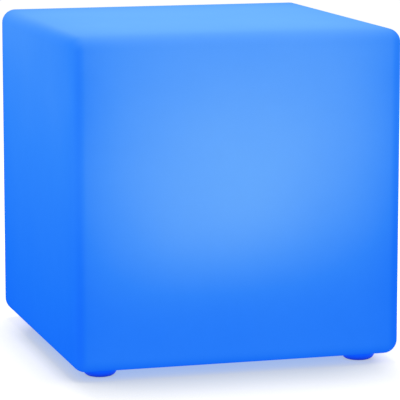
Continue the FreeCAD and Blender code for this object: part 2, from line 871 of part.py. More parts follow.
def stadium(sketch, radius):
    """Draw the round-ended outline about two cells that lie side by side."""
    offset, reach = number("cell_offset"), number(radius)
    upright = Vector(0, 0, 1)
    near = Part.Circle(Vector(-offset, 0, 0), upright, reach)
    far = Part.Circle(Vector(offset, 0, 0), upright, reach)
    first = sketch.addGeometry(Part.ArcOfCircle(near, math.pi / 2, 3 * math.pi / 2), False)
    second = sketch.addGeometry(Part.ArcOfCircle(far, -math.pi / 2, math.pi / 2), False)
    low = sketch.addGeometry(Part.LineSegment(Vector(-offset, -reach, 0), Vector(offset, -reach, 0)), False)
    high = sketch.addGeometry(Part.LineSegment(Vector(offset, reach, 0), Vector(-offset, reach, 0)), False)
    for arc, end, line, line_end in ((first, 2, low, 1), (second, 1, low, 2),
                                     (second, 2, high, 1), (first, 1, high, 2)):
        sketch.addConstraint(Sketcher.Constraint("Tangent", arc, end, line, line_end))
    for arc, place in ((first, "-cell_offset"), (second, "cell_offset")):
        dimension(sketch, "DistanceX", arc, 3, place)
        dimension(sketch, "DistanceY", arc, 3, "0")
    set_radius(sketch, first, radius)


def along_x_body(label, middle="0"):
    """Start a body that lies along X at the height of the battery."""
    body = new_body(label, middle, "battery_across")
    body.setExpression("Placement.Base.z", bound("battery_centre"))
    return body


def make_battery():
    """Two cells in a shrunk sleeve on a foam pad, with their protection board."""
    cells = along_x_body("battery_cells")
    ends = new_sketch(cells, "ends", "-cell_length / 2", plane="YZ_Plane")
    for across in ("-cell_offset", "cell_offset"):
        circle(ends, "cell_radius", across)
    pad(cells, ends, "cell_length")

    sleeve = along_x_body("battery_sleeve")
    section = new_sketch(sleeve, "section", "-sleeve_half", plane="YZ_Plane")
    stadium(section, "sleeve_radius")
    stadium(section, "sleeve_radius - sleeve_wall")
    pad(sleeve, section, "2 * sleeve_half")

    board = along_x_body("protection_board")
    face = new_sketch(board, "face", "cell_length / 2", plane="YZ_Plane")
    rectangle(face, "2 * cell_offset + cell_radius", "protection_height")
    pad(board, face, "board_thickness")

    block("battery_pad", "cell_length - pad_margin", "2 * (cell_offset + cell_radius / 2)", "floor_top",
          "pad_thickness", "0", "battery_across")


def make_bracket():
    """The sheet metal strap over the cells, and its two screws."""
    body = new_body("battery_bracket", "bracket_along", "battery_across")
    inner = "bracket_half - bracket_thickness"
    foot_end = "bracket_half + bracket_foot"
    seat, foot_top, roof = "bracket_seat", "bracket_seat + bracket_thickness", "bracket_top"
    under_roof = "bracket_top - bracket_thickness"
    section = new_sketch(body, "section", "-bracket_width / 2", plane="YZ_Plane")
    outline(section, [
        (f"-({foot_end})", seat), (f"-({inner})", seat), (f"-({inner})", under_roof),
        (inner, under_roof), (inner, seat), (foot_end, seat), (foot_end, foot_top),
        ("bracket_half", foot_top), ("bracket_half", roof), ("-bracket_half", roof),
        ("-bracket_half", foot_top), (f"-({foot_end})", foot_top)])
    pad(body, section, "bracket_width")
    holes = new_sketch(body, "holes", "bracket_seat")
    for across in ("-bracket_screw_place", "bracket_screw_place"):
        circle(holes, "small_shank_radius + screw_clearance", "0", across)
    pocket(body, holes, "bracket_thickness")

    screws = screw("bracket_screws", "small", "bracket_screw_length",
                   "bracket_seat + bracket_thickness", "0", "bracket_screw_place",
                   points_up=False, origin=("bracket_along", "battery_across"))
    mirror_whole(screws, "XZ_Plane")


# Control board


def make_control_board():
    """The control board and the parts soldered to it."""
    body = new_body("control_board", "0", "control_across")
    plate = new_sketch(body, "plate", "control_under")
    rectangle(plate, "control_length", "control_depth")
    for side in ("", "-"):
        for end in ("", "-"):
            circle(plate, "small_shank_radius + screw_clearance",
                   f"{side}control_hole_along", f"{end}control_hole_across")
    pad(body, plate, "board_thickness")

    screws = screw("control_screws", "small", "control_screw_length", "control_top",
                   "control_hole_along", "control_hole_across", points_up=False,
                   origin=("0", "control_across"))
    mirror_whole(screws, "YZ_Plane")
    mirror_whole(screws, "XZ_Plane")

    block("control_chip", "chip_side", "chip_side", "control_top", "chip_height",
          "-chip_side", "control_across")
    block("power_inductor", "inductor_side", "inductor_side", "control_top", "inductor_height",
          "inductor_side", "control_across")

    transistors = new_body("driver_transistors", "0", "control_across - control_hole_across")
    sketch = new_sketch(transistors, "base", "control_top")
    for along in ("-transistor_pitch", "0", "transistor_pitch"):
        rectangle(sketch, "transistor_side", "transistor_side", along)
    pad(transistors, sketch, "transistor_height")

    capacitors = new_body("smoothing_capacitors", "0", "control_across + control_hole_across")
    sketch = new_sketch(capacitors, "base", "control_top")
    for along in ("-capacitor_pitch / 2", "capacitor_pitch / 2"):
        circle(sketch, "capacitor_radius", along)
    pad(capacitors, sketch, "capacitor_height")

    block("indicator_led", "indicator_length", "indicator_width", "indicator_under",
          "indicator_height", "0", "controls_across")


def make_plugs():
    """A header at each end of the control board, with the plug in front of it."""
    edge = "control_length / 2"
    for name, side in (("battery", ""), ("led", "-")):
        block(f"{name}_header", "header_length", "header_width", "control_top", "header_height",
              f"{side}({edge} - header_length / 2)", "control_across")
        block(f"{name}_plug", "plug_length", "plug_width", "plug_level - plug_height / 2",
              "plug_height", f"{side}({edge} + plug_length / 2)", "control_across")


# Wires


def tube(route, radius):
    """Sweep a round wire along straight runs joined by tangent arcs."""
    spots = [Vector(*spot) for spot in route]
    edges = []
    radii = []
    start = spots[0]
    for before, corner, after in zip(spots, spots[1:], spots[2:]):
        arriving, leaving = corner - before, after - corner
        turn = arriving.getAngle(leaving)
        cut = BEND_SHARE * min(arriving.Length, leaving.Length)
        radii.append(cut / math.tan(turn / 2))
        arriving.normalize()
        leaving.normalize()
        first, last = corner - arriving * cut, corner + leaving * cut
        bulge = leaving - arriving
        bulge.normalize()
        centre = corner + bulge * (cut / math.sin(turn / 2))
        middle = centre - bulge * radii[-1]
        edges += [Part.LineSegment(start, first).toShape(), Part.Arc(first, middle, last).toShape()]
        start = last
    edges.append(Part.LineSegment(start, spots[-1]).toShape())
    path = Part.Wire(edges)
    section = Part.Wire(Part.Circle(spots[0], spots[1] - spots[0], radius).toShape())
    solid = path.makePipeShell([section], True, False)
    share = solid.Volume / (math.pi * radius ** 2 * path.Length)
    print(f"wire {path.Length:.1f} long, radii {[round(r, 1) for r in radii]}, volume share {share:.3f}")
    return solid


def wire_part(label, shape):
    feature = document.addObject("Part::Feature", label)
    feature.Shape = shape
    parts.append(feature)


def make_battery_leads():
    """Two leads, one above the other, from the protection board to the battery plug."""
    plug_face = number("control_length / 2 + plug_length")
    board_face = number("cell_length / 2 + board_thickness")
    reach = number("wire_turn_along")
    start, end = number("control_across"), number("lead_end_across")
    level, step = number("plug_level"), number("lead_pitch") / 2
    for colour, height in (("red", level + step), ("black", level - step)):
        route = [(plug_face, start, height), (reach, start, height), (reach, end, height),
                 (board_face, end, height)]
        wire_part(f"battery_lead_{colour}", tube(route, number("lead_radius")))


def make_led_harness():
    """Four wires side by side, from the LED plug up to the socket under the LED board."""
    plug_face = -number("control_length / 2 + plug_length")
    reach = -number("wire_turn_along")
    level, top = number("plug_level"), number("led_board_under - led_socket_height")
    middle, pitch, count = number("control_across"), number("wire_pitch"), int(number("wire_count"))
    wires = []
    for index in range(count):
        across = middle + (index - (count - 1) / 2) * pitch
        route = [(plug_face, across, level), (reach, across, level), (reach, across, top)]
        wires.append(tube(route, number("wire_radius")))
    wire_part("led_harness", Part.makeCompound(wires))


# Power button


def make_button():
    """The button, its seal, and the switch that it presses."""
    collar_radius = "button_radius + button_collar"
    face = "tray_under - button_proud"
    corners = [("0", face), ("button_radius", face), ("button_radius", "button_collar_under"),
               (collar_radius, "button_collar_under"), (collar_radius, "button_collar_top"),
               ("button_stem_radius", "button_collar_top"), ("button_stem_radius", "plunger_under"),
               ("0", "plunger_under")]
    body = turned("power_button", corners, "button_along", "controls_across")
    round_edges(body, body.Tip, "button_edge_radius", circle_at("button_radius", face))
    ring("button_seal", "button_hole_radius + thread_clearance", f"{collar_radius} + seal_margin",
         "floor_top", "seal_thickness", "button_along", "controls_across")

    switch = block("switch_body", "switch_side", "switch_side", "switch_under", "switch_height",
                   "button_along", "controls_across")
    sketch = new_sketch(switch, "bore", "switch_under")
    circle(sketch, "plunger_radius + plunger_clearance")
    pocket(switch, sketch, "plunger_length")
    plunger = new_body("switch_plunger", "button_along", "controls_across")
    sketch = new_sketch(plunger, "rod", "plunger_under")
    circle(sketch, "plunger_radius")
    pad(plunger, sketch, "plunger_length - button_clearance")


# Charging socket


def make_jack():
    """The round socket with its centre pin, held by a nut above the tray."""
    place = ("jack_along", "controls_across")
    turned("charge_jack", [
        ("jack_bore_radius", "jack_face"), ("jack_flange_radius", "jack_face"),
        ("jack_flange_radius", "port_roof"), ("jack_barrel_radius", "port_roof"),
        ("jack_barrel_radius", "jack_back"), ("jack_tail_radius", "jack_back"),
        ("jack_tail_radius", "jack_bore_end"), ("jack_bore_radius", "jack_bore_end")], *place)
    pin_end = "jack_face + jack_pin_recess"
    turned("jack_pin", [
        ("0", pin_end), ("jack_pin_radius", pin_end), ("jack_pin_radius", "jack_bore_end"),
        ("jack_tail_radius", "jack_bore_end"), ("jack_tail_radius", "jack_back"),
        ("0", "jack_back")], *place)
    around = "jack_barrel_radius + thread_clearance"
    ring("jack_washer", around, "jack_washer_radius", "turret_top", "jack_washer_thickness", *place)
    nut = new_body("jack_nut", *place)
    sketch = new_sketch(nut, "hexagon", "jack_nut_under")
    hexagon(sketch, "jack_nut_radius")
    circle(sketch, around)
    pad(nut, sketch, "jack_nut_thickness")
    terminals = new_body("jack_terminals", *place)
    sketch = new_sketch(terminals, "tabs", "jack_back")
    for across in ("-terminal_place", "terminal_place"):
        rectangle(sketch, "terminal_width", "terminal_thickness", "0", across)
    pad(terminals, sketch, "terminal_length")


def make_flap():
    """The sealing flap with its plug and hinge knuckle, and the hinge pin."""
    body = new_body("port_flap", "jack_along", "controls_across")
    disc = new_sketch(body, "disc", "tray_under")
    circle(disc, "flap_radius")
    pad(body, disc, "flap_thickness")
    arm = new_sketch(body, "arm", "tray_under")
    outline(arm, [("0", "-knuckle_length / 2"), ("hinge_reach", "-knuckle_length / 2"),
                  ("hinge_reach", "knuckle_length / 2"), ("0", "knuckle_length / 2")])
    pad(body, arm, "flap_thickness")
    plug = new_sketch(body, "plug", "flap_top")
    circle(plug, "flap_plug_radius")
    pad(body, plug, "flap_plug_height")
    knuckle = new_sketch(body, "knuckle", "-knuckle_length / 2", plane="XZ_Plane")
    circle(knuckle, "knuckle_radius", "hinge_reach", "hinge_level")
    pad(body, knuckle, "knuckle_length")
    hole = new_sketch(body, "hinge_hole", plane="XZ_Plane")
    circle(hole, "hinge_pin_radius + hinge_pin_clearance", "hinge_reach", "hinge_level")
    pocket(body, hole, "knuckle_length", midplane=True)

    pin = new_body("flap_pin", "jack_along", "controls_across")
    rod = new_sketch(pin, "rod", "-hinge_pin_length / 2", plane="XZ_Plane")
    circle(rod, "hinge_pin_radius", "hinge_reach", "hinge_level")
    pad(pin, rod, "hinge_pin_length")


def make_indicator_pipe():
    """The clear rod that brings the indicator's light down to the underside."""
    collar_radius = "pipe_radius + pipe_collar"
    collar_top = "floor_top + pipe_collar_thickness"
    turned("indicator_pipe", [
        ("0", "tray_under"), ("pipe_radius", "tray_under"), ("pipe_radius", "floor_top"),
        (collar_radius, "floor_top"), (collar_radius, collar_top), ("pipe_radius", collar_top),
        ("pipe_radius", "pipe_top"), ("0", "pipe_top")], "0", "controls_across")


def check_everything():
    """Stop if any object failed or any sub-part has no sound solid."""
    document.recompute()
    for item in document.Objects:
        if any(state in item.State for state in ("Invalid", "Error")):
            raise RuntimeError(f"{item.Name} failed: {item.State}")
    for item in parts:
        if item.Shape.isNull() or not item.Shape.isValid() or not item.Shape.Solids:
            raise RuntimeError(f"{item.Label} has no sound solid")


def write_parts():
    """Write each sub-part to a STEP file that has its name."""
    os.makedirs("parts", exist_ok=True)
    for item in parts:
        item.Shape.exportStep(os.path.join("parts", item.Label + ".step"))


make_shell()
make_inserts("flange_inserts", "ledge_under", "flange_pitch_radius", "0", "flange_screw_count")
make_inserts("foot_inserts", "foot_height", "foot_place", "foot_place", CORNER_COUNT)
make_feet()
make_base_tray()
make_flange_seal()
make_dome()
make_led_board()
make_battery()
make_bracket()
make_control_board()
make_plugs()
make_battery_leads()
make_led_harness()
make_button()
make_jack()
make_flap()
make_indicator_pipe()
check_everything()
write_parts()
for part in parts:
    print(f"{part.Label}: {len(part.Shape.Solids)} solids, {part.Shape.Volume:.1f} mm3")
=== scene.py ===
"""The looks of an LED cube light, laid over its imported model. Lengths are in metres.

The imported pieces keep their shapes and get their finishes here, apart from the screws and the feet
that show in the underside. Those are made again in more detail by rules, and so are the ribs under
the tray and the raised ring on the power button.
"""
import functools
import math

import bmesh
import bpy
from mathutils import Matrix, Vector


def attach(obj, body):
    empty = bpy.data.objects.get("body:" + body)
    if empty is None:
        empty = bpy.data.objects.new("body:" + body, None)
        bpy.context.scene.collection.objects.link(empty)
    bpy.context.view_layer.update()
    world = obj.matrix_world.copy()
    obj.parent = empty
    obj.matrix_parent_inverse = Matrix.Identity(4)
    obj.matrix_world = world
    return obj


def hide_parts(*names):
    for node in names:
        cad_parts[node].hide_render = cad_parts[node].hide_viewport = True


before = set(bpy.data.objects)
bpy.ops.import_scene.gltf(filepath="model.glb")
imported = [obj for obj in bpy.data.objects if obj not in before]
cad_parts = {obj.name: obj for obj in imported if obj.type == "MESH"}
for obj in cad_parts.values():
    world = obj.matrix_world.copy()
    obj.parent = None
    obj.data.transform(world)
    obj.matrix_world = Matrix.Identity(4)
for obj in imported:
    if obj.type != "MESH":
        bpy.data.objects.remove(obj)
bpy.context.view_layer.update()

# The shell's outside and the places of the feet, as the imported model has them
HALF_SIDE = 0.200
SHELL_BOTTOM, SHELL_TOP = 0.010, 0.400
EDGE_RADIUS = 0.017
SHELL_MIDDLE = (SHELL_BOTTOM + SHELL_TOP) / 2
FOOT_PLACE = 0.160

# Where the tray's ribs and the button's ring stand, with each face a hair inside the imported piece
TRAY_FACE, BUTTON_FACE = 0.02502, 0.02451
BUTTON_ALONG, BUTTON_ACROSS = -0.018, -0.027

# A Mix node's sockets for colours, by number because their names repeat
MIX_SHARE, MIX_FIRST, MIX_SECOND, MIX_RESULT = 0, 6, 7, 2


# Nodes


class Wire:
    """One output of a node, on which sums can be written."""

    def __init__(self, nodes, socket):
        self.nodes = nodes
        self.socket = socket

    def __add__(self, other):
        return self.nodes.worked("ADD", self, other)

    def __radd__(self, other):
        return self.nodes.worked("ADD", other, self)

    def __sub__(self, other):
        return self.nodes.worked("SUBTRACT", self, other)

    def __rsub__(self, other):
        return self.nodes.worked("SUBTRACT", other, self)

    def __mul__(self, other):
        return self.nodes.worked("MULTIPLY", self, other)

    def __rmul__(self, other):
        return self.nodes.worked("MULTIPLY", other, self)

    def __truediv__(self, other):
        return self.nodes.worked("DIVIDE", self, other)

    def __rtruediv__(self, other):
        return self.nodes.worked("DIVIDE", other, self)

    def __pow__(self, other):
        return self.nodes.worked("POWER", self, other)

    def __abs__(self):
        return self.nodes.worked("ABSOLUTE", self)

    def held(self):
        """Keep the value between 0 and 1."""
        kept = self + 0.0
        kept.socket.node.use_clamp = True
        return kept

    def above(self, limit):
        """1 where the value is over the limit, and 0 elsewhere."""
        return self.nodes.worked("GREATER_THAN", self, limit)

    def step(self, start, end):
        """Rise smoothly from 0 at start to 1 at end."""
        span = {"Value": self, "From Min": start, "From Max": end}
        return self.nodes.node("ShaderNodeMapRange", {"interpolation_type": "SMOOTHSTEP"}, span)


class Nodes:
    """A tree of nodes, and how one is added to it."""

    def __init__(self, tree):
        self.tree = tree

    def node(self, kind, settings=None, inputs=None, output=0):
        """Add a node: its settings first, then the values or wires of its inputs."""
        made = self.tree.nodes.new(kind)
        for name, choice in (settings or {}).items():
            if name == "stops":
                self.set_stops(made.color_ramp, choice)
            else:
                setattr(made, name, choice)
        for name, given in (inputs or {}).items():
            self.feed(made.inputs[name], given)
        return Wire(self, made.outputs[output]) if made.outputs else None

    def set_stops(self, ramp, stops):
        """Put these places and colours on a ramp."""
        while len(ramp.elements) < len(stops):
            ramp.elements.new(1.0)
        for element, (position, colour) in zip(ramp.elements, stops):
            element.position = position
            element.color = (*colour, 1.0)

    def feed(self, socket, given):
        """Link a wire to a socket, or set the socket's own value."""
        if isinstance(given, Wire):
            self.tree.links.new(given.socket, socket)
        elif socket.type == "RGBA" and len(given) == 3:
            socket.default_value = (*given, 1.0)
        else:
            socket.default_value = given

    def worked(self, operation, *terms):
        """Work out one sum on numbers."""
        return self.node("ShaderNodeMath", {"operation": operation}, dict(enumerate(terms)))

    def vector(self, **parts):
        """Make a vector of the numbers given for X, Y and Z."""
        return self.node("ShaderNodeCombineXYZ", None, parts)

    def along(self, vector):
        """Split a vector into its three numbers."""
        parts = self.node("ShaderNodeSeparateXYZ", inputs={0: vector}).socket.node.outputs
        return [Wire(self, part) for part in parts]


class Finish(Nodes):
    """The nodes of a material, or of the world, and what is worked out in them."""

    def __init__(self, owner):
        owner.use_nodes = True
        super().__init__(owner.node_tree)
        self.owner = owner
        self.tree.nodes.clear()

    @functools.cached_property
    def place(self):
        """Where on the object a point is, in metres."""
        return self.node("ShaderNodeTexCoord", output="Object")

    def noise(self, cells_per_metre, detail=2.0, rough=0.5, at=None):
        """Cloudy noise from 0 to 1."""
        inputs = {"Vector": at or self.place, "Scale": cells_per_metre, "Detail": detail, "Roughness": rough}
        return self.node("ShaderNodeTexNoise", {"noise_dimensions": "3D"}, inputs, "Fac")

    def uneven(self, amount, cells_per_metre, detail=2.0, rough=0.5):
        """Cloudy noise of this amount, half of it up and half down."""
        return amount * (self.noise(cells_per_metre, detail, rough) - 0.5)

    def cells(self, cells_per_metre):
        """How far a place is from the middle of its cell, among cells strewn at random."""
        inputs = {"Vector": self.place, "Scale": cells_per_metre}
        return self.node("ShaderNodeTexVoronoi", {"feature": "F1"}, inputs, "Distance")

    def stretched(self, scale, turn=0.0):
        """The place, turned about the upright and then stretched differently along each axis."""
        turned = self.node("ShaderNodeVectorRotate", {"rotation_type": "Z_AXIS"},
                           {"Vector": self.place, "Angle": turn})
        return self.node("ShaderNodeVectorMath", {"operation": "MULTIPLY"}, {0: turned, 1: scale})

    def blend(self, share, first, second, way="MIX"):
        """Mix two colours, or add a share of the second to the first."""
        inputs = {MIX_SHARE: share, MIX_FIRST: first, MIX_SECOND: second}
        return self.node("ShaderNodeMix", {"data_type": "RGBA", "blend_type": way}, inputs, MIX_RESULT)

    def colours(self, share, stops):
        """Turn a share from 0 to 1 into the colour at that place among the stops."""
        return self.node("ShaderNodeValToRGB", {"stops": stops}, {0: share}, "Color")

    def relief(self, height, depth, normal=None):
        """Turn a height from 0 to 1 into dents of the given depth in metres."""
        inputs = {"Height": height, "Strength": 1.0, "Distance": depth}
        if normal:
            inputs["Normal"] = normal
        return self.node("ShaderNodeBump", None, inputs, "Normal")

    def surface(self, inputs):
        """End the material in a shader with these inputs."""
        shader = self.node("ShaderNodeBsdfPrincipled", None, inputs, "BSDF")
        self.node("ShaderNodeOutputMaterial", None, {"Surface": shader})
        return self.owner

    def seen_directly(self):
        """1 for the eye, for reflections and through glass, and 0 where the light falls on things."""
        paths = self.node("ShaderNodeLightPath").socket.node.outputs
        seen = [Wire(self, paths[kind]) for kind in ("Is Camera Ray", "Is Glossy Ray", "Is Transmission Ray")]
        return (seen[0] + seen[1] + seen[2]).held()


# The lit shell and feet


def outward(x, y, z):
    """How far the shell's surface faces sideways, to the front or back, up and down.

    On the rounded edges the shares pass from one face to the next, and they add up to 1.
    """
    flat = HALF_SIDE - EDGE_RADIUS
    flat_up = (SHELL_TOP - SHELL_BOTTOM) / 2 - EDGE_RADIUS
    side = ((abs(x) - flat) / EDGE_RADIUS).held() ** 2.0
    front = ((abs(y) - flat) / EDGE_RADIUS).held() ** 2.0
    top = ((z - (SHELL_MIDDLE + flat_up)) / EDGE_RADIUS).held() ** 2.0
    bottom = (((SHELL_MIDDLE - flat_up) - z) / EDGE_RADIUS).held() ** 2.0
    return side, front, top, bottom


def pool_of_light(finish, x, z):
    """What falls straight on the front from the lamp in the base: it fans up and leans a little."""
    lamp_height, softness = 0.094, 0.060
    lean, upright_at = 0.2, 0.24
    above_lamp = finish.worked("SMOOTH_MAX", z - lamp_height, 0.0, softness)
    sideways = x - lean * (z - upright_at)
    distance_squared = HALF_SIDE ** 2 + sideways * sideways + above_lamp * above_lamp
    return above_lamp * HALF_SIDE / (distance_squared * distance_squared)


def glow_with_painted_face_shading(finish, x, y, z):
    """How brightly the sides, the front and back, the top and the bottom glow. The levels hold painted light
    and shade: the sides are painted dimmer than the front and back, and the top brighter, standing in for the
    studio light on them.
    """
    edge_power = 4.5
    to_edge_x = (abs(x) / HALF_SIDE) ** edge_power
    to_edge_y = (abs(y) / HALF_SIDE) ** edge_power

    # The sides brighten with height, and near the top towards the back, in painted light; their level below
    # the front's is painted shade
    side_base, side_rise, side_edge_dims, back_gains = 0.153, 0.320, 0.08, 0.50
    side = ((side_base + side_rise * z) * (1.0 - side_edge_dims * to_edge_y)
            * (1.0 + back_gains * y * z.step(0.31, 0.39)))

    # The front and back dim towards their upright edges, least near the floor
    front_base, front_pool, front_rise = 0.199, 0.0172, 0.074
    low_dims, middle_dims, high_dims, top_spares = 0.09, 0.165, 0.05, 0.07
    edge_dims = (low_dims + middle_dims * z.step(0.02, 0.17) + high_dims * z.step(0.24, 0.32)
                 - top_spares * z.step(0.34, 0.385))
    front = ((front_base + front_pool * pool_of_light(finish, x, z) + front_rise * z.step(0.02, 0.32))
             * (1.0 - edge_dims * to_edge_x))

    # Painted light: the top's level is brighter than the sides' and the front's
    top_base, top_dims_x, top_dims_y = 0.457, 0.112, 0.20
    top = top_base * (1.0 - top_dims_x * to_edge_x) * (1.0 - top_dims_y * to_edge_y)

    # The bottom is brightest in and round the well, and least bright under its corners
    bottom_base, well_gains, rim_dims = 0.135, 0.060, 0.012
    off_axis = (x * x + y * y) ** 0.5
    bottom = (bottom_base + well_gains * (1.0 - off_axis.step(0.095, 0.165))
              - rim_dims * off_axis.step(0.19, 0.25))
    return side, front, top, bottom


def lit_colour(finish, glow, side):
    """The blue light that the shell gives out, less what it reflects of the studio.

    A stronger glow is paler. Each step gives the green that stands for it, and its red and blue.
    """
    low, high = 0.120, 0.475
    reflected = (0.003, 0.027, 0.170)
    lit = [(0.120, (0.0050, 0.96)), (0.178, (0.0137, 0.96)), (0.233, (0.0307, 0.97)),
           (0.297, (0.0650, 0.98)), (0.380, (0.1200, 0.99)), (0.463, (0.1655, 1.00))]
    stops = [((green - low) / (high - low),
              [max(0.0, seen - mirrored) for seen, mirrored in zip((red, green, blue), reflected)])
             for green, (red, blue) in lit]
    emission = finish.colours((glow - low) / (high - low), stops)
    # Painted light: the sides get a little more green and blue than the other faces
    sides_painted_lift = (0.0, 0.012, 0.045)
    return finish.blend(side, emission, sides_painted_lift, "ADD")


def glowing_shell():
    """Translucent shell over a lamp in its base, with a finely pebbled skin; its glow holds painted light and
    shade on the faces and edges.
    """
    finish = Finish(bpy.data.materials.new("glowing_shell"))
    x, y, z = finish.along(finish.place)
    side, front, top, bottom = outward(x, y, z)
    side_level, front_level, top_level, bottom_level = glow_with_painted_face_shading(finish, x, y, z)
    # This glow holds painted light and shade: the levels of the faces, and the darker edges below
    glow = side * side_level + front * front_level + top * top_level + bottom * bottom_level

    # Painted shade, partly the glow thinning far from the lamp: the rounded upright edges are darker, and so
    # are those along the top of the sides, less so behind
    upright_dims, top_edge_dims, back_spares = 1.15, 0.28, 1.8
    edges = ((1.0 - upright_dims * side * front * front * front)
             * (1.0 - (top_edge_dims - back_spares * y) * side * top))
    # The wall is uneven in broad patches, small ones and fine specks
    wall = (1.0 + finish.uneven(0.05, 14.0) + finish.uneven(0.016, 260.0)
            + finish.uneven(0.024, 800.0, detail=3.0, rough=0.6))
    emission = lit_colour(finish, glow * edges * wall, side)

    skin_depth, pebble_depth = 0.00006, 0.00005
    pebbles = finish.relief(finish.cells(420.0), pebble_depth)
    bump = finish.relief(finish.noise(900.0, 3.0, 0.6), skin_depth, pebbles)
    tint = finish.blend(finish.noise(60.0), (0.0020, 0.026, 0.18), (0.0030, 0.034, 0.22))
    return finish.surface({
        "Base Color": tint, "Roughness": 0.50 + 0.16 * finish.noise(500.0), "Normal": bump,
        "Emission Color": emission, "Emission Strength": 1.0, "Specular IOR Level": 0.0})


def glowing_foot():
    """Soft translucent foot: it takes the shell's light from above and is darkest where it stands."""
    finish = Finish(bpy.data.materials.new("glowing_foot"))
    _, _, z = finish.along(finish.place)
    # Darker towards the floor: the glow carried from the shell fades, with painted shade where the foot
    # stands
    darkest_at, brightest_at = 0.0005, 0.0085
    height = z.step(darkest_at, brightest_at)
    stops = [(0.0, (0.0, 0.015, 0.27)), (0.35, (0.0, 0.040, 0.62)), (1.0, (0.0, 0.088, 0.78))]
    emission = finish.colours(height + finish.uneven(0.06, 300.0), stops)
    bump = finish.relief(finish.noise(1400.0, 3.0), 0.00004)
    tint = finish.blend(finish.noise(240.0), (0.001, 0.010, 0.20), (0.002, 0.016, 0.28))
    return finish.surface({
        "Base Color": tint, "Roughness": 0.42 + 0.2 * finish.noise(700.0), "Normal": bump,
        "Emission Color": emission, "Emission Strength": 1.0, "Specular IOR Level": 0.06})


# The other finishes


def moulded(name, colour, spread=0.06, rough=0.45, grain=1500.0, depth=0.00004, dust=0.0, scuffs=0.0):
    """Moulded plastic or rubber: a fine spark-eroded grain, uneven gloss, scuffs and a trace of dust."""
    finish = Finish(bpy.data.materials.new(name))
    lighter = [min(1.0, channel * (1 + spread) + spread * 0.05) for channel in colour]
    darker = [channel * (1 - spread) for channel in colour]
    base = finish.blend(finish.noise(45.0, 4.0).step(0.3, 0.7), darker, lighter)
    if dust:
        dust_colour = (0.55, 0.54, 0.51)
        specks = finish.noise(2600.0, 2.0).step(0.66, 0.74) * finish.noise(70.0).step(0.4, 0.7)
        base = finish.blend(specks * dust, base, dust_colour)
    fine = finish.noise(grain, 4.0, 0.65)
    gloss = rough + finish.uneven(0.18, 120.0, detail=3.0)
    if scuffs:
        worn_shade, worn_gloss = 0.55, 0.25
        lines = finish.noise(1.0, 2.0, 0.5, finish.stretched((1400.0, 35.0, 1400.0), 0.5)).step(0.64, 0.70)
        crossed = finish.noise(1.0, 2.0, 0.5, finish.stretched((50.0, 1600.0, 1600.0), -0.3)).step(0.66, 0.72)
        worn = (lines + crossed).held() * finish.noise(38.0, 2.0).step(0.45, 0.62) * scuffs
        base = finish.blend(worn, base, [channel * worn_shade for channel in colour])
        gloss = gloss + worn_gloss * worn
    return finish.surface({
        "Base Color": base, "Roughness": gloss.held(), "Normal": finish.relief(fine, depth)})


def metal(name, colour, rough=0.3, grain=(900.0, 900.0, 9000.0)):
    """Turned or plated metal: fine tool marks, and stains that dull it here and there."""
    finish = Finish(bpy.data.materials.new(name))
    tarnish, dull_shade = 0.12, 0.62
    marks = finish.noise(1.0, 3.0, 0.6, finish.stretched(grain))
    stains = finish.noise(160.0, 4.0, 0.6).step(0.42, 0.75)
    base = finish.blend(stains * tarnish * 4.0, colour, [channel * dull_shade for channel in colour])
    return finish.surface({
        "Base Color": base, "Metallic": 1.0 - 0.25 * stains * tarnish,
        "Roughness": (rough + 0.22 * stains + 0.12 * (marks - 0.5)).held(),
        "Normal": finish.relief(marks, 0.00002)})


def frosted_dome():
    """Frosted dome over the LEDs, brightest at its crown."""
    finish = Finish(bpy.data.materials.new("frosted_dome"))
    x, y, _ = finish.along(finish.place)
    dome_radius = 0.070
    off_middle = (x * x + y * y) ** 0.5
    crown = 1.0 - off_middle.step(0.0, dome_radius)
    patches = 0.12 * finish.noise(90.0)
    emission = finish.colours(crown * 0.9 + patches, [(0.0, (0.010, 0.10, 0.55)), (1.0, (0.18, 0.48, 1.0))])
    bump = finish.relief(finish.noise(3000.0, 2.0), 0.00002)
    return finish.surface({
        "Base Color": finish.blend(patches, (0.80, 0.86, 0.93), (0.72, 0.80, 0.90)), "Normal": bump,
        "Roughness": 0.48 + 0.15 * finish.noise(400.0), "Emission Color": emission, "Emission Strength": 0.8})


def clear_rod():
    """Clear rod that carries the indicator's light."""
    finish = Finish(bpy.data.materials.new("clear_rod"))
    _, _, z = finish.along(finish.place)
    rod_bottom, rod_top = 0.025, 0.038
    stops = [(0.0, (0.10, 0.42, 0.80)), (1.0, (0.02, 0.18, 0.60))]
    emission = finish.colours(z.step(rod_bottom, rod_top), stops)
    return finish.surface({
        "Base Color": finish.blend(finish.noise(500.0), (0.86, 0.92, 0.96), (0.93, 0.96, 0.98)),
        "Roughness": 0.05 + 0.12 * finish.noise(900.0),
        "Normal": finish.relief(finish.noise(1800.0), 0.00001),
        "Emission Color": emission, "Emission Strength": 0.5})


def circuit(name, mask, trace, copper):
    """Circuit board: copper runs under the solder mask, and bare tinned pads."""
    finish = Finish(bpy.data.materials.new(name))
    size = {"Vector": finish.place, "Scale": 1.0, "Mortar Size": 0.00022, "Mortar Smooth": 0.2,
            "Brick Width": 0.0062, "Row Height": 0.0023}
    settings = {"offset": 0.37, "squash": 0.6, "squash_frequency": 3}
    runs = finish.node("ShaderNodeTexBrick", settings, size, "Fac")
    pads = 1.0 - finish.cells(190.0).step(0.10, 0.13)
    base = finish.blend(pads, finish.blend(runs, mask, trace), copper)
    rough = 0.34 + finish.uneven(0.1, 300.0) - 0.08 * pads
    return finish.surface({
        "Base Color": base, "Roughness": rough, "Metallic": 0.9 * pads,
        "Normal": finish.relief(runs * 0.6 + pads, 0.00003)})


